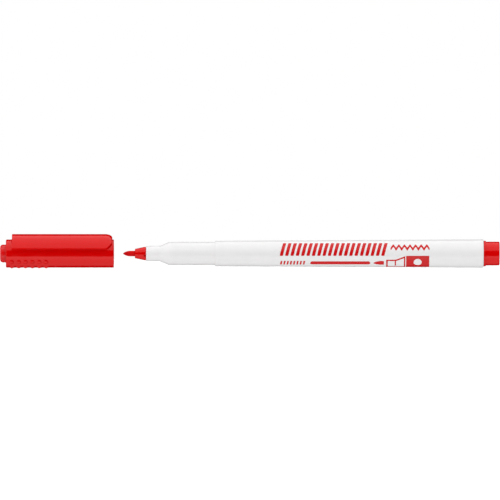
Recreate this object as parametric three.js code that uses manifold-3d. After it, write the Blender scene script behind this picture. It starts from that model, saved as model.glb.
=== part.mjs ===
// A slim whiteboard marker with its cap pulled off and laid in line with the nib.
// Millimetres. X runs along the pen from the cap to the rear end, Z is up, and the marker lies on z = 0.
import * as THREE from "three";
import { mergeVertices } from "three/addons/utils/BufferGeometryUtils.js";
import Module from "manifold-3d";

const wasm = await Module();
wasm.setup();

// How the marker lies: the cap's length, the gap between its mouth and the nib, and the pen's length.
const CAP_LENGTH = 39.4;
const CAP_GAP = 3.2;
const PEN_LENGTH = 130.4;

// Stations along the pen are measured from the tip of the nib.
const NIB = {
  radius: 0.95,
  pointLength: 2.45,
  pointSteps: 7,
  fullness: 1.8, // how full the sides of the point are
  bluntness: 0.7, // how far from blunt the tip is: 0.5 would be round and 1 sharp
  length: 26,
};
const HOLDER = {
  front: 4.1, // where the nib comes out
  frontRadius: 1.6,
  collarFrom: 7.35,
  collarRadius: 2.3,
  seat: 7.95, // its shoulder, against the barrel's nose
  stemRadius: 1.95,
  end: 16.3,
  leadIn: 0.3, // chamfer of the stem's rear end
  boreRadius: 1,
  grooveFrom: 7.2, // a groove along the collar and stem lets air in as ink leaves
  grooveRadius: 1.7,
  grooveWidth: 0.6,
  grooveAngle: 110, // degrees round the axis from the top, towards -Y
};
const BARREL = {
  front: 8,
  noseRadius: 2.615,
  coneFrom: 12.75,
  coneTo: 16,
  frontRadius: 3.99,
  shoulder: 31.9, // the step that the cap's mouth stops against
  shoulderRadius: 4.365,
  rearRadius: 4.86,
  end: 124.85,
  edge: 0.45, // rounding of the rear edge
  noseBore: 2,
  noseBoreEnd: 15.4,
  frontBoreFrom: 17,
  frontBore: 3.35,
  frontBoreEnd: 33,
  rearBoreFrom: 34.5,
  rearBore: 3.6,
  socketFrom: 110,
  socketBore: 4.05, // where the end plug is pressed in
};
const RIB = { count: 6, from: 62, to: 109, innerRadius: 3.33, width: 0.6 };
const CORE = { from: 17.4, to: 112, radius: 3.1, nibHole: 1, nibHoleEnd: 26.4 };
const FILM = { from: 17.6, to: 111.9, innerRadius: 3.15, outerRadius: 3.27 };
const PLUG = {
  stemFrom: 112.2,
  stemRadius: 3.9,
  leadIn: 0.3, // chamfer of the stem's front end, twice as long as it is deep
  beadRadius: 3.98,
  beads: [115.5, 120],
  beadWidth: 1.2,
  flangeFrom: 124.9,
  flangeTo: 125.65,
  flangeRadius: 4.415,
  bodyRadius: 4.1,
  edge: 0.4,
  boreRadius: 2.95,
  boreEnd: 128.6,
};

// Stations along the cap are measured from the nose at its closed end.
const SHELL = {
  from: 2.05,
  outerRadius: 4.865,
  boreRadius: 4.12,
  endWallTo: 3.3,
  noseHole: 3.2,
  edge: 0.35, // rounding of the closed end's edge
  mouthEdge: 0.15,
};
const VENT = { count: 6, outerRadius: 3.95, width: 1.5, overrun: 0.05 };
const FIN = { count: 6, to: 19, innerRadius: 3.15, width: 0.6 };
const DOME = {
  height: 0.44,
  footRadius: 0.8,
  first: 4.1,
  pitch: 2.376,
  perRow: 6,
  rows: [-53.25, -17.75, 17.75, 53.25], // degrees from straight down
};
const INNER_CAP = {
  radius: 3.1,
  boreRadius: 2.68, // slides over the barrel's nose and seals it
  noseEdge: 1,
  endWallTo: 1.6,
  mouth: 20.2,
  leadIn: 0.3, // chamfer inside the mouth, twice as long as it is deep
};
const CLIP = {
  from: 4.15,
  rootTo: 7,
  armFrom: 7.3, // the arm is parted from its root here, where it bends
  to: 38.85,
  topZ: 6.74, // above the cap's axis, as all of the clip's heights
  edgeZ: 1.42,
  halfWidth: 5.95,
  wall: 0.8,
  tipFrom: 36.35, // the top curves down from here to the tip
  tipDrop: 1.2,
  lipFrom: 36.9, // beyond this the tip is solid down to the lip, just clear of the shell
  lipRadius: 5.17,
  chamferFrom: 36.9,
  chamferTo: 38.5,
  chamferZ: 3.3,
};

const SEGMENTS = 32;
const SMALL_SEGMENTS = 20;
const EDGE_STEPS = 3;
const OVERLAP = 0.2; // how far joined shapes reach into each other
const CLEAR = 1; // how far cutting shapes reach past what they cut
const BROKEN_EDGE = 0.15; // the small chamfer on the moulded pieces' edges

const TOTAL_LENGTH = CAP_LENGTH + CAP_GAP + PEN_LENGTH;
const CAP_X = -TOTAL_LENGTH / 2;
const PEN_X = CAP_X + CAP_LENGTH + CAP_GAP;

// The grip domes are cut from balls. The lowest balls touch the table, which sets the axis height.
const BALL_RADIUS = (DOME.footRadius ** 2 + DOME.height ** 2) / (2 * DOME.height);
const BALL_CENTRE = SHELL.outerRadius + DOME.height - BALL_RADIUS;
const LOWEST_ROW = THREE.MathUtils.degToRad(Math.min(...DOME.rows.map(Math.abs)));
const AXIS_Z = BALL_CENTRE * Math.cos(LOWEST_ROW) + BALL_RADIUS;

const RED = new THREE.MeshStandardMaterial({ color: 0xd80406, roughness: 0.3 });
const DARK_RED = new THREE.MeshStandardMaterial({ color: 0xb80810, roughness: 0.45 });
const WHITE = new THREE.MeshStandardMaterial({ color: 0xf4f4f2, roughness: 0.35 });
const INK_RED = new THREE.MeshStandardMaterial({ color: 0xc80f14, roughness: 0.9 });
const CORE_RED = new THREE.MeshStandardMaterial({ color: 0xa81018, roughness: 0.95 });
const FILM_WHITE = new THREE.MeshStandardMaterial({ color: 0xf2dede, roughness: 0.3 });

// Points of a quarter round from one side of an edge to the other, in (radius, station).
function rounding(radius, station, size, fromAngle, toAngle) {
  return Array.from({ length: EDGE_STEPS + 1 }, (_, i) => {
    const angle = THREE.MathUtils.degToRad(fromAngle + ((toAngle - fromAngle) * i) / EDGE_STEPS);
    return [radius + size * Math.cos(angle), station + size * Math.sin(angle)];
  });
}

// Turns an outline of (radius, station) points about the X axis. It runs up the outside and back inside.
function turned(outline, segments = SEGMENTS) {
  const points = outline.map(([radius, station]) => new THREE.Vector2(radius, station));
  return new THREE.LatheGeometry(points, segments).rotateZ(-Math.PI / 2);
}

// An outline of (radius, station) points that closes on itself, for a piece with a hole right through.
function turnedRing(outline, segments = SEGMENTS) {
  return turned([...outline, outline[0]], segments);
}

// A shape drawn in Y and Z, drawn out along X.
function drawnOut(shape, from, to) {
  const settings = { depth: to - from, bevelEnabled: false, curveSegments: 10 };
  const basis = new THREE.Matrix4().makeBasis(
    new THREE.Vector3(0, 1, 0),
    new THREE.Vector3(0, 0, 1),
    new THREE.Vector3(1, 0, 0),
  );
  return new THREE.ExtrudeGeometry(shape, settings).applyMatrix4(basis).translate(from, 0, 0);
}

// A bar along the cap or pen, lying at an angle round the axis between two radii.
function radialBar(from, to, innerRadius, outerRadius, width, angle) {
  const bar = new THREE.BoxGeometry(to - from, width, outerRadius - innerRadius);
  bar.translate((from + to) / 2, 0, (innerRadius + outerRadius) / 2);
  return bar.rotateX(angle);
}

// A closed geometry as a solid that can be joined and cut.
function solid(geometry) {
  const bare = geometry.clone();
  bare.deleteAttribute("normal");
  bare.deleteAttribute("uv");
  const merged = mergeVertices(bare);
  const vertProperties = new Float32Array(merged.getAttribute("position").array);
  const triVerts = new Uint32Array(merged.index.array);
  return new wasm.Manifold(new wasm.Mesh({ numProp: 3, vertProperties, triVerts }));
}

function geometryOf(shape) {
  const { vertProperties, triVerts } = shape.getMesh();
  const geometry = new THREE.BufferGeometry();
  geometry.setAttribute("position", new THREE.BufferAttribute(vertProperties, 3));
  geometry.setIndex(new THREE.BufferAttribute(triVerts, 1));
  geometry.computeVertexNormals();
  return geometry;
}

function named(name, geometry, material) {
  const mesh = new THREE.Mesh(geometry, material);
  mesh.name = name;
  return mesh;
}

// A fibre rod ground to a bullet point. Its rear end reaches into the ink core.
function nib() {
  const point = Array.from({ length: NIB.pointSteps + 1 }, (_, i) => {
    const share = (i / NIB.pointSteps) ** 2;
    const radius = NIB.radius * (1 - (1 - share) ** NIB.fullness) ** NIB.bluntness;
    return [radius, share * NIB.pointLength];
  });
  const outline = [...point, [NIB.radius, NIB.length], [0, NIB.length]];
  return named("nib", turned(outline, SMALL_SEGMENTS), INK_RED);
}

// The cone that grips the nib, with its stem pressed into the barrel's nose and its air groove.
function nibHolder() {
  const h = HOLDER;
  const outline = [
    [h.boreRadius, h.front],
    [h.frontRadius - BROKEN_EDGE, h.front],
    [h.frontRadius, h.front + BROKEN_EDGE],
    [h.collarRadius, h.collarFrom],
    [h.collarRadius, h.seat - BROKEN_EDGE],
    [h.collarRadius - BROKEN_EDGE, h.seat],
    [h.stemRadius, h.seat],
    [h.stemRadius, h.end - h.leadIn],
    [h.stemRadius - h.leadIn, h.end],
    [h.boreRadius, h.end],
  ];
  const [from, outerRadius] = [h.grooveFrom, h.collarRadius + CLEAR];
  const angle = THREE.MathUtils.degToRad(h.grooveAngle);
  const groove = radialBar(from, h.end + CLEAR, h.grooveRadius, outerRadius, h.grooveWidth, angle);
  const body = solid(turnedRing(outline, SMALL_SEGMENTS)).subtract(solid(groove));
  return named("nib_holder", geometryOf(body), RED);
}

// The white tube: nose, cone, front section, shoulder and tapered rear, with centring ribs inside.
function barrel() {
  const b = BARREL;
  const rearEdge = rounding(b.rearRadius - b.edge, b.end - b.edge, b.edge, 0, 90);
  const outline = [
    [b.noseBore, b.front],
    [b.noseRadius - BROKEN_EDGE, b.front],
    [b.noseRadius, b.front + BROKEN_EDGE],
    [b.noseRadius, b.coneFrom],
    [b.frontRadius, b.coneTo],
    [b.frontRadius, b.shoulder],
    [b.shoulderRadius - BROKEN_EDGE, b.shoulder],
    [b.shoulderRadius, b.shoulder + BROKEN_EDGE],
    ...rearEdge,
    [b.socketBore, b.end],
    [b.socketBore, b.socketFrom],
    [b.rearBore, b.rearBoreFrom],
    [b.frontBore, b.frontBoreEnd],
    [b.frontBore, b.frontBoreFrom],
    [b.noseBore, b.noseBoreEnd],
  ];
  let body = solid(turnedRing(outline));
  for (let i = 0; i < RIB.count; i += 1) {
    const angle = (i * 2 * Math.PI) / RIB.count;
    const outerRadius = b.socketBore + OVERLAP;
    body = body.add(
      solid(radialBar(RIB.from, RIB.to, RIB.innerRadius, outerRadius, RIB.width, angle)),
    );
  }
  return named("barrel", geometryOf(body), WHITE);
}

// The soaked fibre core, with the hole that the nib has pressed into its front.
function inkReservoir() {
  const c = CORE;
  const outline = [
    [0, c.nibHoleEnd],
    [c.nibHole, c.nibHoleEnd],
    [c.nibHole, c.from],
    [c.radius, c.from],
    [c.radius, c.to],
    [0, c.to],
  ];
  return named("ink_reservoir", turned(outline), CORE_RED);
}

// The thin sleeve wrapped round the fibre core.
function reservoirFilm() {
  const f = FILM;
  const outline = [
    [f.innerRadius, f.from],
    [f.outerRadius, f.from],
    [f.outerRadius, f.to],
    [f.innerRadius, f.to],
  ];
  return named("reservoir_film", turnedRing(outline), FILM_WHITE);
}

// The plug that closes the rear: a hollow stem with two sealing beads, a flange and a short round body.
function endPlug() {
  const p = PLUG;
  const beads = p.beads.flatMap((station) => [
    [p.stemRadius, station - p.beadWidth / 2],
    [p.beadRadius, station],
    [p.stemRadius, station + p.beadWidth / 2],
  ]);
  const outline = [
    [0, p.boreEnd],
    [p.boreRadius, p.boreEnd],
    [p.boreRadius, p.stemFrom],
    [p.stemRadius - p.leadIn, p.stemFrom],
    [p.stemRadius, p.stemFrom + 2 * p.leadIn],
    ...beads,
    [p.stemRadius, p.flangeFrom],
    [p.flangeRadius, p.flangeFrom],
    [p.flangeRadius, p.flangeTo],
    [p.bodyRadius, p.flangeTo],
    ...rounding(p.bodyRadius - p.edge, PEN_LENGTH - p.edge, p.edge, 0, 90),
    [0, PEN_LENGTH],
  ];
  return named("end_plug", turned(outline), RED);
}

// A solid half-round section that hoods the upper half of the cap, drawn in by an inset.
function archSection(inset, lowestZ) {
  const [halfWidth, topZ] = [CLIP.halfWidth - inset, CLIP.topZ - inset];
  const start = Math.asin(lowestZ / topZ);
  const shape = new THREE.Shape();
  shape.absellipse(0, 0, halfWidth, topZ, start, Math.PI - start, false);
  shape.closePath();
  return shape;
}

// The clip's side outline: its top curves down to the tip, and its lower corner is cut off aslant.
function clipSide() {
  const c = CLIP;
  const side = new THREE.Shape();
  side.moveTo(c.armFrom, c.edgeZ);
  side.lineTo(c.chamferFrom, c.edgeZ);
  side.lineTo(c.chamferTo, c.chamferZ);
  side.lineTo(c.to, c.chamferZ + c.to - c.chamferTo);
  side.absellipse(c.tipFrom, c.topZ - c.tipDrop, c.to - c.tipFrom, c.tipDrop, 0, Math.PI / 2, false);
  side.lineTo(c.armFrom, c.topZ);
  side.closePath();
  return side;
}

// The clip's arm: an arched strip that is hollow up to the lip at its tip.
function capClip() {
  const c = CLIP;
  const reach = c.halfWidth + CLEAR;
  const settings = { depth: 2 * reach, bevelEnabled: false, curveSegments: 5 };
  const side = new THREE.ExtrudeGeometry(clipSide(), settings).rotateX(Math.PI / 2);
  side.translate(0, reach, 0);
  const hollow = drawnOut(archSection(c.wall, c.edgeZ - CLEAR), c.armFrom - CLEAR, c.lipFrom);
  const room = turned([
    [0, c.armFrom - CLEAR],
    [c.lipRadius, c.armFrom - CLEAR],
    [c.lipRadius, c.to + CLEAR],
    [0, c.to + CLEAR],
  ]);
  const hood = solid(drawnOut(archSection(0, c.edgeZ), c.armFrom, c.to)).intersect(solid(side));
  return named("cap_clip", geometryOf(hood.subtract(solid(hollow)).subtract(solid(room))), RED);
}

// All the grip domes as balls, in rows along the underside of the cap.
function domeBalls() {
  const balls = [];
  for (const degrees of DOME.rows) {
    const angle = THREE.MathUtils.degToRad(degrees);
    for (let i = 0; i < DOME.perRow; i += 1) {
      const ball = new THREE.SphereGeometry(BALL_RADIUS, 10, 8).rotateX(Math.PI / 2);
      const station = DOME.first + i * DOME.pitch;
      ball.translate(station, BALL_CENTRE * Math.sin(angle), -BALL_CENTRE * Math.cos(angle));
      balls.push(solid(ball));
    }
  }
  return balls;
}

// The cap's outer tube, with the clip's root and the grip domes outside and the fins that hold the
// inner cap inside. Vents round the nose let air through the closed end.
function capShell() {
  const s = SHELL;
  const tube = [
    [s.noseHole, s.from],
    ...rounding(s.outerRadius - s.edge, s.from + s.edge, s.edge, -90, 0),
    [s.outerRadius, CAP_LENGTH - s.mouthEdge],
    [s.outerRadius - s.mouthEdge, CAP_LENGTH],
    [s.boreRadius, CAP_LENGTH],
    [s.boreRadius, s.endWallTo],
    [s.noseHole, s.endWallTo],
  ];
  const bore = [
    [0, s.endWallTo],
    [s.boreRadius, s.endWallTo],
    [s.boreRadius, CAP_LENGTH + CLEAR],
    [0, CAP_LENGTH + CLEAR],
  ];
  let body = solid(turnedRing(tube));
  body = body.add(solid(drawnOut(archSection(0, CLIP.edgeZ), CLIP.from, CLIP.rootTo)));
  for (const ball of domeBalls()) body = body.add(ball);
  body = body.subtract(solid(turned(bore)));
  for (let i = 0; i < FIN.count; i += 1) {
    const angle = ((i + 0.5) * 2 * Math.PI) / FIN.count;
    const [from, outerRadius] = [s.endWallTo - OVERLAP, s.boreRadius + OVERLAP];
    body = body.add(solid(radialBar(from, FIN.to, FIN.innerRadius, outerRadius, FIN.width, angle)));
  }
  for (let i = 0; i < VENT.count; i += 1) {
    const angle = (i * 2 * Math.PI) / VENT.count;
    const innerRadius = s.noseHole - OVERLAP;
    const [from, to] = [s.from - CLEAR, s.endWallTo + VENT.overrun];
    const slot = radialBar(from, to, innerRadius, VENT.outerRadius, VENT.width, angle);
    body = body.subtract(solid(slot));
  }
  return named("cap_shell", geometryOf(body), RED);
}

// The sealing sleeve inside the cap. Its closed nose stands out of the shell's end.
function innerCap() {
  const c = INNER_CAP;
  const outline = [
    [0, 0],
    ...rounding(c.radius - c.noseEdge, c.noseEdge, c.noseEdge, -90, 0),
    [c.radius, c.mouth],
    [c.boreRadius + c.leadIn / 2, c.mouth],
    [c.boreRadius, c.mouth - c.leadIn],
    [c.boreRadius, c.endWallTo],
    [0, c.endWallTo],
  ];
  return named("inner_cap", turned(outline), DARK_RED);
}

const pen = new THREE.Group();
pen.position.set(PEN_X, 0, AXIS_Z);
pen.add(nib(), nibHolder(), barrel(), inkReservoir(), reservoirFilm(), endPlug());

const cap = new THREE.Group();
cap.position.set(CAP_X, 0, AXIS_Z);
cap.add(capShell(), capClip(), innerCap());

const marker = new THREE.Group();
marker.add(pen, cap);

export default marker;
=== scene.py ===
"""The looks of a slim whiteboard marker with its cap pulled off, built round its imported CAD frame.

Stations and radii are in millimetres. A station runs along the pen from the nib's tip, or along the cap
from its nose, and an angle round the axis is measured from straight down, in degrees, towards +Y.
"""

import math

import bmesh
import bpy
import numpy as np
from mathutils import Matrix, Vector
from mathutils.geometry import tessellate_polygon


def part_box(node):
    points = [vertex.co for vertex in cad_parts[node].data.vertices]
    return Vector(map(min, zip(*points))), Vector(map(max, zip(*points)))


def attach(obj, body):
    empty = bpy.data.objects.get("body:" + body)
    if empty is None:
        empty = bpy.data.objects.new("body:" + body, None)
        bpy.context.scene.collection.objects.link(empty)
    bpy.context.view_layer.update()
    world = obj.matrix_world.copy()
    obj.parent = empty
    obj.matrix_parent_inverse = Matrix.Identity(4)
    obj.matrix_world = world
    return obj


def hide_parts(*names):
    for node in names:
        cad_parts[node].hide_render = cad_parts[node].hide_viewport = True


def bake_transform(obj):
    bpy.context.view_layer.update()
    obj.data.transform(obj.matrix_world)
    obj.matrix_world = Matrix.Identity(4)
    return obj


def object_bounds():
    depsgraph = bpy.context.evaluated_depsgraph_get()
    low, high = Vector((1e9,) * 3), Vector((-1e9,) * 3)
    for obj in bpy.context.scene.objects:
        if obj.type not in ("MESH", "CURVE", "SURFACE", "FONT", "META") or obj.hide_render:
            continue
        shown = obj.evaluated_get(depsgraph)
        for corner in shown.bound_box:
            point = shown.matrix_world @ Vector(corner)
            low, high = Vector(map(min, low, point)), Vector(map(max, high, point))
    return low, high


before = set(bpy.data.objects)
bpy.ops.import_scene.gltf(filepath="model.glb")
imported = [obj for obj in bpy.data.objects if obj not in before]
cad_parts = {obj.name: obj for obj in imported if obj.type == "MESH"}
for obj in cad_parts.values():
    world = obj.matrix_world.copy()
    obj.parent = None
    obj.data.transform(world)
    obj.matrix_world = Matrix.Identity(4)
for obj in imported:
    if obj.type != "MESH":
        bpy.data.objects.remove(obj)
cad_lo, cad_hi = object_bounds()

MM = 0.001
SUPPORT = 0.04  # a straight run has a point this close to each end, which keeps a fillet's shading by it
FILLET_STEP = math.radians(14)
FILLET_SHARE = 0.45  # the most that a fillet takes of the shorter run beside its corner
COLUMNS = 144  # round a plain turned piece
FINE_COLUMNS = 360  # round the cap's shell, whose fins, vents and domes need them
SHARP = math.radians(38)
WELD = 1e-7  # points closer than this, in metres, are joined

barrel_lo, barrel_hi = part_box("barrel")
PEN_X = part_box("nib")[0].x / MM
CAP_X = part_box("inner_cap")[0].x / MM
AXIS_Z = (barrel_lo.z + barrel_hi.z) / 2 / MM


def span(node, start):
    """The stations of a node's two ends."""
    low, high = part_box(node)
    return low.x / MM - start, high.x / MM - start


def widest(node):
    """The largest radius of a turned node."""
    low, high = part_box(node)
    return (high.z - low.z) / 2 / MM


# The pen
NIB_RADIUS, NIB_TO = widest("nib"), span("nib", PEN_X)[1]
# Its point: fullness swells the sides, and a sharpness of 0.5 would be round and 1 sharp.
NIB_POINT = {"length": 2.45, "steps": 16, "fullness": 1.8, "sharpness": 0.7}
BARREL_FROM, BARREL_TO = span("barrel", PEN_X)
BARREL_RADIUS = widest("barrel")
NOSE_RADIUS, NOSE_TO = 2.615, 12.75
FRONT_RADIUS, FRONT_FROM = 3.99, 16.0
SHOULDER, SHOULDER_RADIUS = 31.9, 4.365
REAR_BORE_FROM, REAR_BORE = 34.5, 3.6
SOCKET_FROM, SOCKET_BORE = 110.0, 4.05
RIBS = {"count": 6, "from": 62.0, "to": 109.0, "radius": 3.33, "width": 0.6}
HOLDER_FROM, HOLDER_TO = span("nib_holder", PEN_X)
HOLDER_RADIUS = widest("nib_holder")
GROOVE = {"from": 7.2, "radius": 1.7, "half_turn": math.radians(7.5), "angle": math.radians(-70)}
CORE_FROM, CORE_TO = span("ink_reservoir", PEN_X)
CORE_RADIUS = widest("ink_reservoir")
FILM_FROM, FILM_TO = span("reservoir_film", PEN_X)
FILM_RADIUS = widest("reservoir_film")
PLUG_FROM, PLUG_TO = span("end_plug", PEN_X)
FLANGE_RADIUS, PLUG_RADIUS, STEM_RADIUS = widest("end_plug"), 4.1, 3.9

# The cap
SHELL_FROM, SHELL_TO = span("cap_shell", CAP_X)
SHELL_RADIUS, SHELL_BORE, END_WALL_TO, NOSE_HOLE = 4.865, 4.12, 3.3, 3.2
FINS = {"count": 6, "to": 19.0, "radius": 3.25, "width": 0.6}
VENTS = {"count": 6, "radius": 3.95, "width": 1.5}
DOMES = {"first": 4.1, "pitch": 2.376, "count": 6, "rows": (-53.25, -17.75, 17.75, 53.25)}
DOME_FOOT, DOME_HEIGHT = 0.8, 0.44
INNER_CAP_TO, INNER_CAP_RADIUS = span("inner_cap", CAP_X)[1], widest("inner_cap")
CLIP_FROM, CLIP_TO = 4.15, span("cap_clip", CAP_X)[1]
CLIP_LOW, CLIP_TOP = (corner.z / MM - AXIS_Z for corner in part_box("cap_clip"))
CLIP_HALF_WIDTH, CLIP_WALL = 5.95, 0.8
TIP_FROM = 36.35  # the clip's top curves down from here
BEND_STEPS = 4  # in each quarter of the round along the clip's lower edges


# ---------------------------------------------------------------- mesh tools


def arc(corner, before, after, radius):
    """Points of a fillet at a corner, whose neighbours lie at before and after."""
    back, ahead = before - corner, after - corner
    reach_limit = FILLET_SHARE * min(np.linalg.norm(back), np.linalg.norm(ahead))
    back, ahead = back / np.linalg.norm(back), ahead / np.linalg.norm(ahead)
    half = math.acos(np.clip(back @ ahead, -1, 1)) / 2
    reach = min(radius / math.tan(half), reach_limit)
    middle = (back + ahead) / np.linalg.norm(back + ahead)
    centre = corner + middle * reach / math.cos(half)
    start, stop = corner + back * reach - centre, corner + ahead * reach - centre
    turn = math.atan2(start[0] * stop[1] - start[1] * stop[0], start @ stop)
    steps = max(3, math.ceil(abs(turn) / FILLET_STEP))
    points = []
    for share in np.linspace(0, 1, steps + 1):
        c, s = math.cos(turn * share), math.sin(turn * share)
        points.append(centre + np.array((start[0] * c - start[1] * s, start[0] * s + start[1] * c)))
    return points


def rounded(corners, closed=False):
    """The points of an outline of (station, radius) or (station, radius, fillet) corners."""
    places = [np.array(c[:2], float) for c in corners]
    count = len(corners)
    arcs = []
    for i, corner in enumerate(corners):
        at_end = not closed and i in (0, count - 1)
        if len(corner) == 2 or at_end:
            arcs.append([places[i]])
        else:
            arcs.append(arc(places[i], places[i - 1], places[(i + 1) % count], corner[2]))
    points = []
    for i, points_here in enumerate(arcs):
        points += points_here
        if not closed and i == count - 1:
            break
        run = arcs[(i + 1) % count][0] - points_here[-1]
        length = np.linalg.norm(run)
        if length > 4 * SUPPORT:
            points.append(points_here[-1] + run * SUPPORT / length)
            points.append(points_here[-1] + run * (1 - SUPPORT / length))
    return np.array(points)


def skin(rings, closed):
    """Vertices and faces of rings of points, each ring joined to the next and closed on itself."""
    count, columns = rings.shape[:2]
    faces = []
    for i in range(count if closed else count - 1):
        here, ahead = i * columns, ((i + 1) % count) * columns
        for j in range(columns):
            k = (j + 1) % columns
            faces.append((here + j, here + k, ahead + k, ahead + j))
    return rings.reshape(-1, 3), faces


def turned(outline, start, closed=False, columns=COLUMNS, shaped=None):
    """An outline turned about the axis. shaped may move each ring's points, given their angles."""
    angles = np.arange(columns) * 2 * math.pi / columns
    stations = np.repeat(outline[:, :1], columns, axis=1)
    radii = np.repeat(outline[:, 1:], columns, axis=1)
    if shaped:
        radii = shaped(stations, radii, angles)
    x, y, z = start + stations, radii * np.sin(angles), AXIS_Z - radii * np.cos(angles)
    return skin(np.stack((x, y, z), axis=2), closed)


def piece(name, vertices, faces, material, body, replaced=(), slot=None, sharp=SHARP):
    """A mesh object that rides on a body. Points that coincide are joined."""
    mesh = bpy.data.meshes.new(name)
    mesh.from_pydata((np.asarray(vertices) * MM).tolist(), [], faces)
    work = bmesh.new()
    work.from_mesh(mesh)
    bmesh.ops.remove_doubles(work, verts=work.verts, dist=WELD)
    bmesh.ops.recalc_face_normals(work, faces=work.faces)
    work.to_mesh(mesh)
    work.free()
    mesh.shade_smooth()
    mesh.set_sharp_from_angle(angle=sharp)
    mesh.materials.append(material)
    made = bpy.data.objects.new(name, mesh)
    bpy.context.scene.collection.objects.link(made)
    if body:
        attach(made, body)
    if replaced:
        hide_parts(*replaced)
    return made


def off_centre(angles, first, step):
    """How far each angle is from the nearest of a set of evenly spaced ones, in radians."""
    return np.abs((angles - first + step / 2) % step - step / 2)


# ---------------------------------------------------------------- materials


def node(tree, kind, inputs=None, **settings):
    """A shader node with its settings, its values and its links to earlier nodes' sockets."""
    made = tree.nodes.new(kind)
    for key, value in settings.items():
        setattr(made, key, value)
    for socket, value in (inputs or {}).items():
        if isinstance(value, bpy.types.NodeSocket):
            tree.links.new(value, made.inputs[socket])
        else:
            made.inputs[socket].default_value = value
    return made


def noise(tree, where, scale, detail=3.0, stretch=(1, 1, 1)):
    """Noise at a scale per metre, drawn out along the axes by stretch."""
    vector = node(tree, "ShaderNodeMapping", {"Vector": where, "Scale": stretch}).outputs["Vector"]
    inputs = {"Vector": vector, "Scale": scale, "Detail": detail}
    return node(tree, "ShaderNodeTexNoise", inputs).outputs["Fac"]


def spread(tree, value, low, high):
    """Noise, which lies mostly between 0.3 and 0.7, spread over a range."""
    inputs = {"Value": value, "From Min": 0.3, "From Max": 0.7, "To Min": low, "To Max": high}
    return node(tree, "ShaderNodeMapRange", inputs).outputs["Result"]


def bump(tree, height, distance, normal=None):
    """A bump of a height in metres, laid over an earlier one."""
    inputs = {"Height": height, "Distance": distance, "Strength": 1.0}
    if normal:
        inputs["Normal"] = normal
    return node(tree, "ShaderNodeBump", inputs).outputs["Normal"]


def shades(tree, value, dark, light):
    """A colour between two, by noise."""
    ramp = node(tree, "ShaderNodeValToRGB", {"Fac": value})
    ramp.color_ramp.elements[0].position = 0.3
    ramp.color_ramp.elements[0].color = (*dark, 1)
    ramp.color_ramp.elements[1].position = 0.7
    ramp.color_ramp.elements[1].color = (*light, 1)
    return ramp.outputs["Color"]


def new_material(name):
    """A material's tree, its Principled shader and its object coordinates."""
    material = bpy.data.materials.new(name)
    material.use_nodes = True
    tree = material.node_tree
    where = node(tree, "ShaderNodeTexCoord").outputs["Object"]
    return material, tree, tree.nodes["Principled BSDF"], where


def link(tree, shader, **sockets):
    """Links outputs to the shader's sockets, whose names have their spaces left out."""
    named = {socket.name.replace(" ", ""): socket for socket in shader.inputs}
    for key, value in sockets.items():
        tree.links.new(value, named[key])


def moulded_plastic(name, dark, light, gloss, clouding=0.0, deep=False):
    """Glossy moulded plastic: faint pigment clouds, flow lines along the part, fine texture and scuffs.

    A deep pigment also colours what the surface reflects.
    """
    material, tree, shader, where = new_material(name)
    clouds = noise(tree, where, 260, 4)
    flow = noise(tree, where, 420, 3, (0.06, 1, 1))
    grain = noise(tree, where, 5200, 2)
    scuffs = noise(tree, where, 900, 6, (0.35, 1, 1))
    smooth = bump(tree, flow, 1.2e-6)
    link(
        tree,
        shader,
        BaseColor=shades(tree, clouds, dark, light),
        Roughness=spread(tree, scuffs, gloss - 0.025, gloss + 0.045),
        Normal=bump(tree, grain, 0.6e-6, smooth),
    )
    shader.inputs["IOR"].default_value = 1.59 if deep else 1.49
    if deep:
        shader.inputs["Specular IOR Level"].default_value = 1.0
        shader.inputs["Specular Tint"].default_value = (1.0, 0.35, 0.35, 1)
    if clouding:
        shader.inputs["Subsurface Weight"].default_value = clouding
        shader.inputs["Subsurface Radius"].default_value = (1.0, 0.9, 0.85)
        shader.inputs["Subsurface Scale"].default_value = 0.0006
    return material


def fibre(name, dark, light, bump_height):
    """Bonded polyester fibres along the axis, soaked with ink."""
    material, tree, shader, where = new_material(name)
    strands = noise(tree, where, 6500, 3, (0.05, 1, 1))
    pores = noise(tree, where, 9000, 3, (0.5, 1, 1))
    soak = noise(tree, where, 700, 4)
    mixed = node(tree, "ShaderNodeMath", {0: strands, 1: soak}, operation="ADD").outputs[0]
    half = node(tree, "ShaderNodeMath", {0: mixed, 1: 0.5}, operation="MULTIPLY").outputs[0]
    link(
        tree,
        shader,
        BaseColor=shades(tree, half, dark, light),
        Roughness=spread(tree, soak, 0.6, 0.85),
        Normal=bump(tree, pores, bump_height / 2, bump(tree, strands, bump_height)),
    )
    shader.inputs["IOR"].default_value = 1.4
    shader.inputs["Specular IOR Level"].default_value = 0.15
    return material


def printed_ink(name, dark, light):
    """Pad-printed ink: a thin glossy film with a slightly uneven surface."""
    material, tree, shader, where = new_material(name)
    lay = noise(tree, where, 1500, 4)
    specks = noise(tree, where, 7000, 2)
    link(
        tree,
        shader,
        BaseColor=shades(tree, lay, dark, light),
        Roughness=spread(tree, lay, 0.12, 0.2),
        Normal=bump(tree, specks, 0.8e-6),
    )
    return material


def milky_film(name):
    """The thin wrap round the ink core, stained by the ink behind it."""
    material, tree, shader, where = new_material(name)
    stains = noise(tree, where, 300, 5, (0.3, 1, 1))
    creases = noise(tree, where, 1200, 3, (0.1, 1, 1))
    link(
        tree,
        shader,
        BaseColor=shades(tree, stains, (0.72, 0.32, 0.32), (0.86, 0.66, 0.65)),
        Roughness=spread(tree, stains, 0.2, 0.35),
        Normal=bump(tree, creases, 4e-6),
    )
    return material


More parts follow.
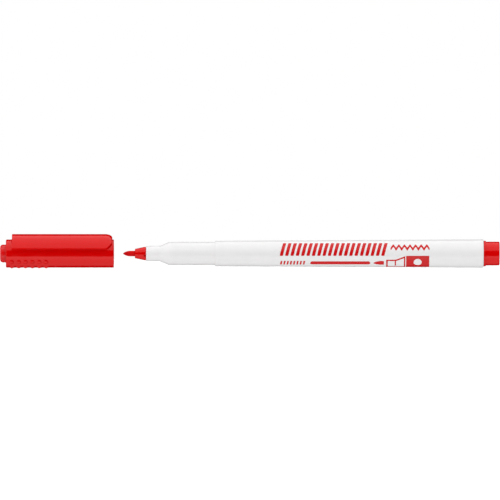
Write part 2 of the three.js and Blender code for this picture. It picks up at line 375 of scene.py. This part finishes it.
RED = moulded_plastic("red plastic", (0.705, 0.0001, 0.0002), (0.73, 0.0003, 0.0004), 0.09, deep=True)
RED_INSIDE = moulded_plastic("red inner plastic", (0.70, 0.0006, 0.0010), (0.76, 0.0012, 0.0016), 0.2)
WHITE = moulded_plastic("white plastic", (0.842, 0.833, 0.837), (0.865, 0.856, 0.859), 0.16, 0.08)
NIB_FIBRE = fibre("ink-soaked nib", (0.56, 0.0008, 0.0015), (0.74, 0.003, 0.004), 8e-6)
CORE_FIBRE = fibre("ink-soaked core", (0.25, 0.001, 0.002), (0.50, 0.006, 0.008), 20e-6)
PRINT = printed_ink("red print", (0.58, 0.003, 0.005), (0.65, 0.005, 0.007))
FILM = milky_film("milky film")


# ---------------------------------------------------------------- the pen


def nib():
    """The fibre rod, ground to a bullet point."""
    point = []
    for share in np.linspace(0, 1, NIB_POINT["steps"] + 1) ** 2:
        radius = NIB_RADIUS * (1 - (1 - share) ** NIB_POINT["fullness"]) ** NIB_POINT["sharpness"]
        point.append((NIB_POINT["length"] * share, radius))
    outline = rounded([*point, (NIB_TO, NIB_RADIUS, 0.15), (NIB_TO, 0)])
    piece("fibre_nib", *turned(outline, PEN_X, columns=96), NIB_FIBRE, "barrel", ["nib"], "ink_nib")


def air_groove(stations, radii, angles):
    """Sinks the groove that lets air past the holder's collar and stem."""
    slack = 0.001
    near = off_centre(angles, GROOVE["angle"], 2 * math.pi) < GROOVE["half_turn"] - slack
    deep = (radii > GROOVE["radius"]) & (stations >= GROOVE["from"])
    return np.where(deep & near, GROOVE["radius"], radii)


def nib_holder():
    """The cone that grips the nib, with a short collar against the barrel and a stem inside it."""
    front_radius, collar_from, seat = 1.6, 7.35, 7.95
    stem_radius, bore = 1.95, 0.985
    flank = []
    for station in (GROOVE["from"] - SUPPORT, GROOVE["from"]):
        share = (station - HOLDER_FROM) / (collar_from - HOLDER_FROM)
        flank.append((station, front_radius + (HOLDER_RADIUS - front_radius) * share))
    outline = rounded(
        [
            (HOLDER_FROM, bore, 0.12),
            (HOLDER_FROM, front_radius, 0.22),
            *flank,
            (collar_from, HOLDER_RADIUS, 0.5),
            (seat, HOLDER_RADIUS, 0.25),
            (seat, stem_radius),
            (HOLDER_TO, stem_radius, 0.3),
            (HOLDER_TO, bore, 0.1),
        ],
        closed=True,
    )
    shape = turned(outline, PEN_X, closed=True, shaped=air_groove)
    piece("nib_cone", *shape, RED, "barrel", ["nib_holder"], "red_trim")


def barrel_ribs(stations, radii, angles):
    """Raises the centring ribs from the bore of the barrel's rear."""
    spacing, slack = 2 * math.pi / RIBS["count"], 0.01
    near = off_centre(angles, 0, spacing) < RIBS["width"] / 2 / RIBS["radius"]
    inside = (radii < SOCKET_BORE + slack) & (stations >= RIBS["from"]) & (stations <= RIBS["to"])
    return np.where(inside & near, RIBS["radius"], radii)


def rear_bore(station):
    """The radius of the tapered bore behind the front section."""
    share = (station - REAR_BORE_FROM) / (SOCKET_FROM - REAR_BORE_FROM)
    return REAR_BORE + share * (SOCKET_BORE - REAR_BORE)


def barrel():
    """The white tube: nose, cone, front section, the cap's stop and the tapered rear."""
    nose_bore, nose_bore_to = 2.0, 15.4
    front_bore, front_bore_from, front_bore_to = 3.35, 17, 33
    ribs_from, ribs_to, step = RIBS["from"], RIBS["to"], 0.05
    outline = rounded(
        [
            (BARREL_FROM, nose_bore, 0.08),
            (BARREL_FROM, NOSE_RADIUS, 0.18),
            (NOSE_TO, NOSE_RADIUS, 1.6),
            (FRONT_FROM, FRONT_RADIUS, 1.6),
            (SHOULDER, FRONT_RADIUS, 0.05),
            (SHOULDER, SHOULDER_RADIUS, 0.1),
            (BARREL_TO, BARREL_RADIUS, 0.5),
            (BARREL_TO, SOCKET_BORE, 0.08),
            (SOCKET_FROM, SOCKET_BORE),
            (ribs_to + step, rear_bore(ribs_to + step)),
            (ribs_to, rear_bore(ribs_to)),
            (ribs_from, rear_bore(ribs_from)),
            (ribs_from - step, rear_bore(ribs_from - step)),
            (REAR_BORE_FROM, REAR_BORE),
            (front_bore_to, front_bore),
            (front_bore_from, front_bore),
            (nose_bore_to, nose_bore),
        ],
        closed=True,
    )
    shape = turned(outline, PEN_X, closed=True, shaped=barrel_ribs)
    piece("white_barrel", *shape, WHITE, "barrel", ["barrel"], "white_barrel")


def barrel_radius(station):
    """The outer radius of the tapered rear of the barrel."""
    share = (station - SHOULDER) / (BARREL_TO - SHOULDER)
    return SHOULDER_RADIUS + share * (BARREL_RADIUS - SHOULDER_RADIUS)


def ink_core():
    """The fibre core, with the hole that the nib is pressed into."""
    hole, hole_to = 0.98, 26.4
    outline = rounded(
        [
            (hole_to, 0),
            (hole_to, hole),
            (CORE_FROM, hole, 0.1),
            (CORE_FROM, CORE_RADIUS, 0.2),
            (CORE_TO, CORE_RADIUS, 0.2),
            (CORE_TO, 0),
        ]
    )
    shape = turned(outline, PEN_X)
    piece("fibre_core", *shape, CORE_FIBRE, "barrel", ["ink_reservoir"], "ink_core")


def core_film():
    """The thin sleeve round the fibre core."""
    inner = 3.15
    outline = rounded(
        [(FILM_FROM, inner), (FILM_FROM, FILM_RADIUS), (FILM_TO, FILM_RADIUS), (FILM_TO, inner)],
        closed=True,
    )
    shape = turned(outline, PEN_X, closed=True)
    piece("core_film", *shape, FILM, "barrel", ["reservoir_film"], "core_film")


def end_plug():
    """The plug: a hollow stem with two sealing beads, a flange and a short body with a moulding mark."""
    flange_from, flange_to, bore, bore_to = 124.9, 125.65, 2.95, 128.6
    lead_in, lead_in_length, mark_radius, mark_depth = 0.2, 0.8, 0.7, 0.1
    bead_stations, bead_height, bead_reach = (115.5, 120.0), 0.08, 0.6
    beads = []
    for station in bead_stations:
        beads += [
            (station - bead_reach, STEM_RADIUS, 0.3),
            (station, STEM_RADIUS + bead_height, 0.6),
            (station + bead_reach, STEM_RADIUS, 0.3),
        ]
    outline = rounded(
        [
            (bore_to, 0),
            (bore_to, bore, 0.4),
            (PLUG_FROM, bore, 0.1),
            (PLUG_FROM, STEM_RADIUS - lead_in, 0.1),
            (PLUG_FROM + lead_in_length, STEM_RADIUS, 0.2),
            *beads,
            (flange_from, STEM_RADIUS),
            (flange_from, FLANGE_RADIUS, 0.12),
            (flange_to, FLANGE_RADIUS, 0.12),
            (flange_to, PLUG_RADIUS, 0.06),
            (PLUG_TO, PLUG_RADIUS, 0.4),
            (PLUG_TO, mark_radius, 0.04),
            (PLUG_TO - mark_depth, mark_radius - 0.1, 0.04),
            (PLUG_TO - mark_depth, 0),
        ]
    )
    piece("rear_plug", *turned(outline, PEN_X), RED, "barrel", ["end_plug"], "red_trim")


# ---------------------------------------------------------------- the cap


def with_domes(stations, radii, angles):
    """Raises each grip dome, a slice of a ball, with a small fillet round its foot."""
    ball = (DOME_FOOT**2 + DOME_HEIGHT**2) / (2 * DOME_HEIGHT)
    centre = SHELL_RADIUS + DOME_HEIGHT - ball
    fillet = 0.05
    raised = radii.copy()
    for row in DOMES["rows"]:
        turn = angles - math.radians(row)
        for i in range(DOMES["count"]):
            along = stations - (DOMES["first"] + i * DOMES["pitch"])
            inside = ball**2 - along**2 - (centre * np.sin(turn)) ** 2
            near = (inside > 0) & (np.cos(turn) > 0)
            top = np.where(near, centre * np.cos(turn) + np.sqrt(np.maximum(inside, 0)), 0)
            blend = np.maximum(fillet - np.abs(raised - top), 0) / fillet
            raised = np.maximum(raised, top) + blend**2 * fillet / 4
    return raised


def shell_details(outer_count):
    """Gives the shell's first rings the domes, its others the fins, and its closed end the vents."""

    def shaped(stations, radii, angles):
        fin_step, vent_step = 2 * math.pi / FINS["count"], 2 * math.pi / VENTS["count"]
        on_fin = off_centre(angles, fin_step / 2, fin_step) < FINS["width"] / 2 / FINS["radius"]
        on_vent = off_centre(angles, 0, vent_step) < VENTS["width"] / 2 / VENTS["radius"]
        at_outside = (np.arange(len(radii)) < outer_count)[:, None]
        out = np.where(at_outside, with_domes(stations, radii, angles), radii)
        fins = ~at_outside & (stations > END_WALL_TO - SUPPORT) & (stations <= FINS["to"]) & on_fin
        out = np.where(fins, np.minimum(out, FINS["radius"]), out)
        vents = (stations < END_WALL_TO + SUPPORT / 2) & (out < VENTS["radius"]) & on_vent
        return np.where(vents, VENTS["radius"], out)

    return shaped


def cap_shell():
    """The cap's tube, with grip domes outside, fins inside and vents round the nose."""
    dome_step, dome_margin = 0.11, 0.9
    last_dome = DOMES["first"] + (DOMES["count"] - 1) * DOMES["pitch"]
    dome_rings = np.arange(DOMES["first"] - dome_margin, last_dome + dome_margin, dome_step)
    outside = [
        (SHELL_FROM, NOSE_HOLE, 0.08),
        (SHELL_FROM, SHELL_RADIUS, 0.35),
        *((station, SHELL_RADIUS) for station in dome_rings),
        (SHELL_TO, SHELL_RADIUS, 0.18),
        (SHELL_TO, SHELL_BORE, 0.12),
    ]
    fin_end = 0.05
    inside = [
        (FINS["to"] + fin_end, SHELL_BORE),
        (FINS["to"], SHELL_BORE),
        (END_WALL_TO, SHELL_BORE),
        (END_WALL_TO, NOSE_HOLE),
    ]
    outline = rounded(outside + inside, closed=True)
    outer_count = int(np.argmax(outline[:, 0]))
    shape = turned(outline, CAP_X, True, FINE_COLUMNS, shell_details(outer_count))
    piece("ribbed_cap", *shape, RED, "cap", ["cap_shell"], "red_cap")


def inner_cap():
    """The sealing sleeve, whose closed nose stands out of the shell, with its moulding mark."""
    bore, end_wall_to, mark_radius, mark_depth = 2.68, 1.6, 0.5, 0.08
    outline = rounded(
        [
            (mark_depth, 0),
            (mark_depth, mark_radius - 0.1, 0.04),
            (0, mark_radius, 0.04),
            (0, INNER_CAP_RADIUS, 1.0),
            (INNER_CAP_TO, INNER_CAP_RADIUS, 0.1),
            (INNER_CAP_TO, bore, 0.2),
            (end_wall_to, bore, 0.4),
            (end_wall_to, 0),
        ]
    )
    shape = turned(outline, CAP_X)
    piece("sealing_cap", *shape, RED_INSIDE, "cap", ["inner_cap"], "red_inner_cap")


def arch_point(half_width, top, angle):
    """A point of the arch, in (y, z above the axis)."""
    return half_width * math.cos(angle), top * math.sin(angle)


def bent(a, corner, b):
    """Points of a smooth bend from a to b round a corner, without a."""
    points = []
    for i in range(1, BEND_STEPS + 1):
        t = i / BEND_STEPS
        weights = ((1 - t) ** 2, 2 * t * (1 - t), t**2)
        points.append(tuple(sum(w * p[k] for w, p in zip(weights, (a, corner, b))) for k in (0, 1)))
    return points


def arch_section(outer, inner, low, steps=72, edge=0.22):
    """A closed section of the clip: over its outside, round a lower edge, back inside, round the other."""

    def half_round(half_width, top):
        start = math.asin((low + edge) / top)
        angles = np.linspace(start, math.pi - start, steps + 1)
        return [arch_point(half_width, top, a) for a in angles]

    def on_low(half_width, top):
        return half_width * math.sqrt(1 - (low / top) ** 2), low

    over, under = half_round(*outer), half_round(*inner)[::-1]
    (outer_y, _), (inner_y, _) = on_low(*outer), on_low(*inner)
    middle_y = (outer_y + inner_y) / 2
    left = bent(over[-1], (-outer_y, low), (-middle_y, low))
    left += bent((-middle_y, low), (-inner_y, low), under[0])[:-1]
    right = bent(under[-1], (inner_y, low), (middle_y, low))
    right += bent((middle_y, low), (outer_y, low), over[0])[:-1]
    return over + left + under + right


def quarter(first, steps):
    """Angles of a quarter turn, from first degrees to 90, in radians."""
    return np.radians(np.linspace(first, 90, steps))


def root_sections(outer, solid):
    """The clip's root, which rises from the shell in a fillet, and its own front edge."""
    foot, top_edge, sunk, lead = 0.4, 0.16, 0.08, 0.05
    buried = (CLIP_FROM - foot - lead, (SHELL_RADIUS - sunk,) * 2, solid, CLIP_LOW)
    sections = [buried]
    for angle in quarter(0, 7):
        radius = SHELL_RADIUS + foot * (1 - math.cos(angle))
        station = CLIP_FROM - foot + foot * math.sin(angle)
        sections.append((station, (radius, radius), solid, CLIP_LOW))
    foot_ring = np.array((SHELL_RADIUS + foot,) * 2)
    for share in (0.08, 0.35, 0.65, 0.95):
        size = foot_ring + (outer - top_edge - foot_ring) * share
        sections.append((CLIP_FROM, size, solid, CLIP_LOW))
    for angle in quarter(0, 6):
        size = outer - top_edge * (1 - math.sin(angle))
        station = CLIP_FROM + top_edge * (1 - math.cos(angle))
        sections.append((station, size, solid, CLIP_LOW))
    return sections


def arm_sections(outer, inner, solid):
    """The clip's arm, which is hollow from just behind its root."""
    root_to, arm_from = 6.7, 7.5
    stations = (CLIP_FROM + 0.25, 5.5, root_to)
    sections = [(station, outer, solid, CLIP_LOW) for station in stations]
    for share in np.linspace(0.1, 1, 8):
        station = root_to + (arm_from - root_to) * share
        rise = math.sin(share * math.pi / 2)
        sections.append((station, outer, solid + (inner - solid) * rise, CLIP_LOW))
    sections += [(station, outer, inner, CLIP_LOW) for station in np.linspace(8, TIP_FROM, 24)]
    return sections


def tip_sections(outer, inner):
    """The clip's tip, whose top curves down and whose hollow closes to a lip."""
    drop, lip = np.array((0.5, 1.2)), np.array((5.17, 5.17))
    closing_after, closing_length = 0.1, 1.0
    sections = []
    for angle in quarter(5, 20):
        station = TIP_FROM + (CLIP_TO - TIP_FROM) * math.sin(angle)
        size = outer - drop * (1 - math.cos(angle))
        closing = np.clip((station - TIP_FROM - closing_after) / closing_length, 0, 1)
        closing = closing * closing * (3 - 2 * closing)
        sections.append((station, size, inner + (lip - inner) * closing, tip_low(station)))
    end = outer - drop
    for share in (0.15, 0.5, 0.85):
        sections.append((CLIP_TO, end + (lip - end) * share, lip, tip_low(CLIP_TO)))
    return sections


def clip_sections():
    """(station, outer arch, inner arch, lowest height) of every section of the clip, from root to tip."""
    outer = np.array((CLIP_HALF_WIDTH, CLIP_TOP))
    inner = outer - CLIP_WALL
    sunk = SHELL_RADIUS - 0.25
    solid = np.array((sunk, sunk))
    return root_sections(outer, solid) + arm_sections(outer, inner, solid) + tip_sections(outer, inner)


def tip_low(station):
    """The height of the clip's lower edge, which rises aslant by the tip."""
    slant_from, slope, softness = 36.9, 1.175, 0.1
    beyond = station - slant_from
    return CLIP_LOW + slope * (beyond + math.hypot(beyond, softness)) / 2


def cap_clip():
    """The clip: one arch with its root sunk in the shell, and its arm hollow from just behind the root."""
    rings = []
    for station, outer, inner, low in clip_sections():
        loop = arch_section(outer, inner, low)
        rings.append([(CAP_X + station, y, AXIS_Z + z) for y, z in loop])
    rings = np.array(rings)
    vertices, faces = skin(rings, closed=False)
    columns = rings.shape[1]
    for first in (0, (len(rings) - 1) * columns):
        faces += end_cap(first, columns, columns - BEND_STEPS)
    clip = piece("arched_clip", vertices, faces, RED, None, ["cap_clip"], "red_cap")
    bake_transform(clip)


def end_cap(first, columns, middle):
    """Faces that close a section, which is the same on both sides of the point numbered middle."""
    faces = []
    for i in range(columns // 2):
        corners = (middle + i, middle + i + 1, middle - i - 1, middle - i)
        faces.append(list(dict.fromkeys(first + corner % columns for corner in corners)))
    return faces


# ---------------------------------------------------------------- the print


def slanted_bar(left, right, low, high, lean=0.0, corner=0.3):
    """A bar with round corners, which leans to the right by lean from its foot to its top."""
    corners = [(left, low), (right, low), (right + lean, high), (left + lean, high)]
    return rounded([(*place, corner) for place in corners], closed=True).tolist()


def capsule(left, right, middle, height, steps=10):
    """A line with round ends."""
    radius = height / 2
    points = []
    for i in range(steps + 1):
        angle = -math.pi / 2 + math.pi * i / steps
        points.append((right - radius + radius * math.cos(angle), middle + radius * math.sin(angle)))
    for i in range(steps + 1):
        angle = math.pi / 2 + math.pi * i / steps
        points.append((left + radius + radius * math.cos(angle), middle + radius * math.sin(angle)))
    return points


def zigzag(left, right, low, high, thickness, legs, corner=0.2):
    """A zigzag stroke, whose thickness is measured upright."""
    upper, lower = [], []
    for i, station in enumerate(np.linspace(left, right, legs + 1)):
        height = high - thickness if i % 2 else low
        lower.append((station, height, corner))
        upper.append((station, height + thickness, corner))
    return rounded(upper + lower[::-1], closed=True).tolist()


def circle(x, y, radius, steps=32):
    """A round outline."""
    angles = [2 * math.pi * i / steps for i in range(steps)]
    return [(x + radius * math.cos(a), y + radius * math.sin(a)) for a in angles]


def flat_shape(work, outlines):
    """Adds the triangles of an outline and the holes in it to a mesh that is being made."""
    rings = [[Vector((x, y, 0)) for x, y in outline] for outline in outlines]
    corners = [work.verts.new(point) for ring in rings for point in ring]
    for triangle in tessellate_polygon(rings):
        try:
            work.faces.new([corners[i] for i in triangle])
        except ValueError:  # the triangle is there already
            continue


def printed(name, shapes):
    """Shapes of outlines in (station, way up round the barrel from its middle), printed on the barrel.

    They are cut across at every level, so that they bend round it.
    """
    thickness, sunk, cut = 0.012, 0.03, 0.25
    work = bmesh.new()
    for outlines in shapes:
        flat_shape(work, outlines)
    heights = [v.co.y for v in work.verts]
    for level in np.arange(math.ceil(min(heights) / cut) * cut, max(heights), cut):
        everything = work.verts[:] + work.edges[:] + work.faces[:]
        bmesh.ops.bisect_plane(work, geom=everything, plane_co=(0, level, 0), plane_no=(0, 1, 0))
    for vertex in work.verts:
        vertex.co.z = thickness
    raised = bmesh.ops.extrude_face_region(work, geom=work.faces[:])
    for item in raised["geom"]:
        if isinstance(item, bmesh.types.BMVert):
            item.co.z = -sunk
    for vertex in work.verts:
        station, up, height = vertex.co
        base = barrel_radius(station)
        angle, radius = up / base, base + height
        x, y, z = PEN_X + station, -radius * math.cos(angle), AXIS_Z + radius * math.sin(angle)
        vertex.co = (x, y, z)
    mesh = bpy.data.meshes.new(name)
    work.to_mesh(mesh)
    work.free()
    vertices = [tuple(v.co) for v in mesh.vertices]
    faces = [tuple(p.vertices) for p in mesh.polygons]
    bpy.data.meshes.remove(mesh)
    piece(name, vertices, faces, PRINT, "barrel", slot="red_trim")


def pen_point_drawing():
    """A small pen point: a bullet beside an outlined holder with a mark in it."""
    tip, height, foot = (86.5, -3.62), -2.75, -4.5
    bullet = [tip, (87.6, -3.0), (88.8, height), (90.3, height), (90.3, foot), (88.8, foot), (87.6, -4.25)]
    outside = [(91.1, -2.2), (94.4, -2.2), (97.7, -0.9), (97.7, -6.3), (91.1, -6.3)]
    inside = [(91.65, -2.75), (94.5, -2.75), (97.25, -1.65), (97.25, -5.8), (91.65, -5.8)]
    mark = slanted_bar(94.05, 94.5, -5.15, -2.75, corner=0.1)
    return [[bullet], [outside, inside], [mark]]


def barrel_print():
    """A plain pattern of bars, a zigzag, ticks and simple shapes, in place of any wording."""
    bar_lefts, bar_width, bar_lean = np.linspace(54.2, 89.3, 20), 1.15, 1.25
    bars = [[slanted_bar(left, left + bar_width, -0.8, 4.15, bar_lean)] for left in bar_lefts]
    printed("print_bars", bars)
    printed("print_zigzag", [[zigzag(92.6, 106.1, low=0.85, high=3.65, thickness=1.15, legs=14)]])
    printed("print_line", [[capsule(64.8, 85.6, middle=-3.62, height=1.5)]])
    tick_lefts, tick_width, tick_lean = np.linspace(54.3, 62.2, 8), 0.6, 0.3
    ticks = [[slanted_bar(left, left + tick_width, -4.5, -2.7, tick_lean, 0.12)] for left in tick_lefts]
    printed("print_ticks", ticks)
    printed("print_pen_point", pen_point_drawing())
    box, hole = slanted_bar(98.0, 106.0, -6.3, -0.8, corner=0.12), circle(102.0, -3.3, 1.4)
    printed("print_box", [[box, hole]])


# ---------------------------------------------------------------- the studio


# Lamps round the pen's axis, in degrees from straight ahead over the top: (from, to, level at from,
# level at to). The soft ones light matt surfaces, and the gloss ones are what glossy surfaces reflect.
SOFT_FILL, SOFT_EDGE = 0.42, 8
SOFT_LAMPS = {
    "behind": (-175, -135, 1.5, 1.5),
    "in front and low": (-55, -15, 2.0, 2.0),
    "overhead": (60, 120, 2.1, 2.1),
}
GLOSS_FILL, GLOSS_EDGE = 0.0, 2
GLOSS_LAMPS = {
    "lower softbox": (-120, -25, 0.4, 0.9),
    "upper softbox": (27, 125, 0.8, 1.0),
}
# How bright the room's two ends are, past the cap and past the plug, in each light.
SOFT_ENDS, GLOSS_ENDS = (1.2, 0.6), (0.5, 0.1)
END_FROM, END_TO = 0.65, 0.95  # how far a direction points along X where an end begins and is full


def lamp_stops(fill, edge, lamps):
    """Stops of (degrees, level) for lamps on a dim fill, each with its edges softened."""
    stops = [(-180, fill)]
    for start, stop, first_level, last_level in lamps.values():
        stops += [(start - edge / 2, fill), (start + edge / 2, first_level)]
        stops += [(stop - edge / 2, last_level), (stop + edge / 2, fill)]
    return [*stops, (180, fill)]


def floor():
    """A pale floor, which the light from below passes through, so only the camera sees it."""
    size = 4.0
    corners = [(-size, -size, 0), (size, -size, 0), (size, size, 0), (-size, size, 0)]
    mesh = bpy.data.meshes.new("floor")
    mesh.from_pydata(corners, [], [(0, 1, 2, 3)])
    made = bpy.data.objects.new("floor", mesh)
    bpy.context.scene.collection.objects.link(made)
    material, tree, shader, where = new_material("pale floor")
    mottling = noise(tree, where, 3, 2)
    link(tree, shader, BaseColor=shades(tree, mottling, (0.9, 0.9, 0.9), (0.91, 0.91, 0.91)))
    shader.inputs["Roughness"].default_value = 1.0
    shader.inputs["Specular IOR Level"].default_value = 0.0
    mesh.materials.append(material)
    made.visible_glossy = made.visible_diffuse = made.visible_transmission = False
    made.visible_shadow = False


# The sockets of a colour Mix node, whose names repeat
MIX_FACTOR, MIX_FIRST, MIX_SECOND, MIX_RESULT = 0, 6, 7, 2


def by_angle(tree, share, stops):
    """Grey levels round the pen's axis, from stops of (degrees from straight ahead over the top, level)."""
    ramp = node(tree, "ShaderNodeValToRGB", {"Fac": share})
    elements = ramp.color_ramp.elements
    while len(elements) < len(stops):
        elements.new(0.5)
    for element, (degrees, level) in zip(elements, stops):
        element.position = (degrees + 180) / 360
        element.color = (level, level, level, 1)
    return ramp.outputs["Color"]


def sky():
    """The lamps, which run the length of the room, with its two ends. The camera sees plain white."""
    world = bpy.data.worlds.new("studio")
    bpy.context.scene.world = world
    world.use_nodes = True
    tree = world.node_tree
    tree.nodes.clear()
    direction = node(tree, "ShaderNodeTexCoord").outputs["Generated"]
    parts = node(tree, "ShaderNodeSeparateXYZ", {"Vector": direction}).outputs
    ahead = node(tree, "ShaderNodeMath", {0: parts["Y"], 1: -1.0}, operation="MULTIPLY").outputs[0]
    angle = node(tree, "ShaderNodeMath", {0: parts["Z"], 1: ahead}, operation="ARCTAN2").outputs[0]
    inputs = {"Value": angle, "From Min": -math.pi, "From Max": math.pi, "To Min": 0.0, "To Max": 1.0}
    share = node(tree, "ShaderNodeMapRange", inputs).outputs["Result"]
    lights = []
    soft = lamp_stops(SOFT_FILL, SOFT_EDGE, SOFT_LAMPS)
    glossy = lamp_stops(GLOSS_FILL, GLOSS_EDGE, GLOSS_LAMPS)
    for stops, end_levels in ((soft, SOFT_ENDS), (glossy, GLOSS_ENDS)):
        color = by_angle(tree, share, stops)
        for towards, level in zip((-1, 1), end_levels):
            start, full = END_FROM * towards, END_TO * towards
            inputs = {"Value": parts["X"], "From Min": start, "From Max": full}
            blend = node(tree, "ShaderNodeMapRange", inputs, interpolation_type="SMOOTHSTEP")
            end = blend.outputs["Result"]
            inputs = {MIX_FACTOR: end, MIX_FIRST: color, MIX_SECOND: (level, level, level, 1)}
            color = node(tree, "ShaderNodeMix", inputs, data_type="RGBA").outputs[MIX_RESULT]
        lights.append(node(tree, "ShaderNodeBackground", {"Color": color}).outputs[0])
    white = node(tree, "ShaderNodeBackground", {"Color": (1, 1, 1, 1)}).outputs[0]
    rays = node(tree, "ShaderNodeLightPath").outputs
    lit = node(tree, "ShaderNodeMixShader", {0: rays["Is Glossy Ray"], 1: lights[0], 2: lights[1]})
    seen = node(tree, "ShaderNodeMixShader", {0: rays["Is Camera Ray"], 1: lit.outputs[0], 2: white})
    node(tree, "ShaderNodeOutputWorld", {"Surface": seen.outputs[0]})


def camera():
    """A long lens, level and a little above the pen's axis, that just takes in the whole length."""
    lens, sensor, margin = 800.0, 36.0, 1.0012
    across, above_axis = 0.07, 1.23
    length = (cad_hi.x - cad_lo.x) / MM
    data = bpy.data.cameras.new("camera")
    data.lens, data.sensor_width = lens, sensor
    data.clip_start, data.clip_end = 0.01, 50
    made = bpy.data.objects.new("camera", data)
    made.location = Vector((across, -length * margin * lens / sensor, AXIS_Z + above_axis)) * MM
    made.rotation_euler = (math.radians(90), 0, 0)
    bpy.context.scene.collection.objects.link(made)
    bpy.context.scene.camera = made


bpy.context.scene.view_settings.view_transform = "Standard"
camera()
floor()
sky()
nib()
nib_holder()
barrel()
ink_core()
core_film()
end_plug()
cap_shell()
inner_cap()
cap_clip()
barrel_print()
